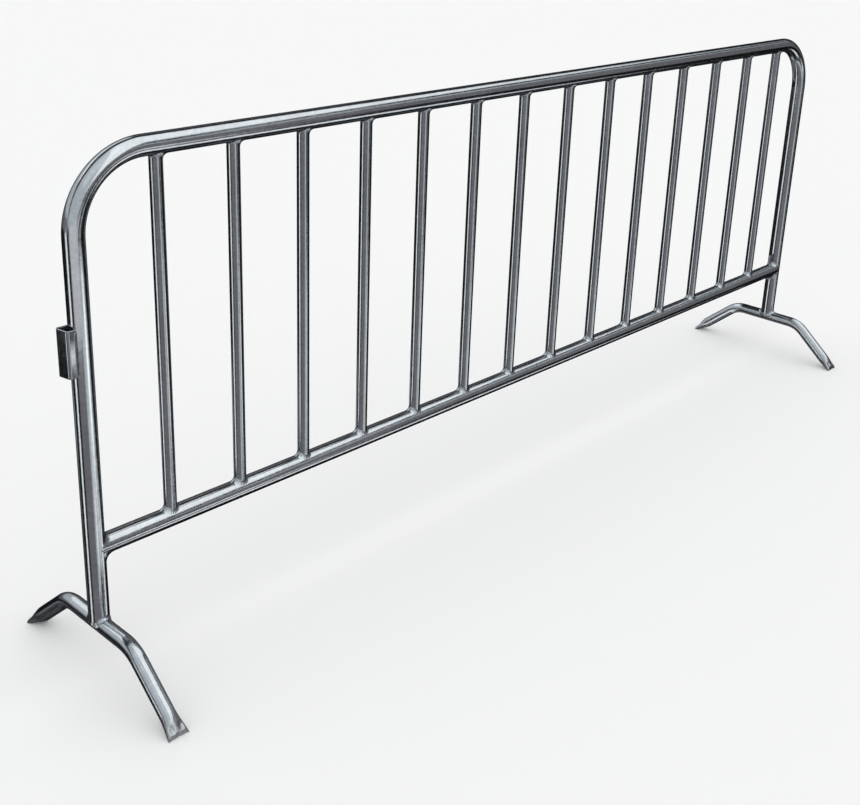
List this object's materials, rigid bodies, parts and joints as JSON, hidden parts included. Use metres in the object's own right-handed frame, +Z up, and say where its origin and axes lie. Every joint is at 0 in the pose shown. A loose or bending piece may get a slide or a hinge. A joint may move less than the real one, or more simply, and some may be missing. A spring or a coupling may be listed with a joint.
{
  "type": "crowd control barrier",
  "caption": "Interlocking crowd control barrier of welded steel tube: a frame with round top corners, upright infill bars and arched tube feet.",
  "frame": {"origin": "on the ground, under the middle of the barrier", "axes": "+X along the barrier from the coupling loop to the coupling hook, +Y across it, +Z up"},
  "size_m": [2.7638, 0.53, 1.1],
  "materials": {
    "frame_steel": "bright galvanised steel, half polished, with faint spangle and long draw marks",
    "bar_steel": "bright galvanised steel, half polished, with faint spangle and long draw marks",
    "foot_steel": "bright galvanised steel, half polished, with faint spangle and long draw marks",
    "coupler_steel": "bright galvanised steel, half polished, with faint spangle and long draw marks"
  },
  "bodies": {
    "root": {"bar_01": "bar_steel", "bar_02": "bar_steel", "bar_03": "bar_steel", "bar_04": "bar_steel", "bar_05": "bar_steel", "bar_06": "bar_steel", "bar_07": "bar_steel", "bar_08": "bar_steel", "bar_09": "bar_steel", "bar_10": "bar_steel", "bar_11": "bar_steel", "bar_12": "bar_steel", "bar_13": "bar_steel", "bar_14": "bar_steel", "bottom_rail": "frame_steel", "corner_lug": "coupler_steel", "coupling_hook": "coupler_steel", "coupling_loop": "coupler_steel", "foot_left": "foot_steel", "foot_right": "foot_steel", "frame_tube": "frame_steel"}
  },
  "joints": []
}
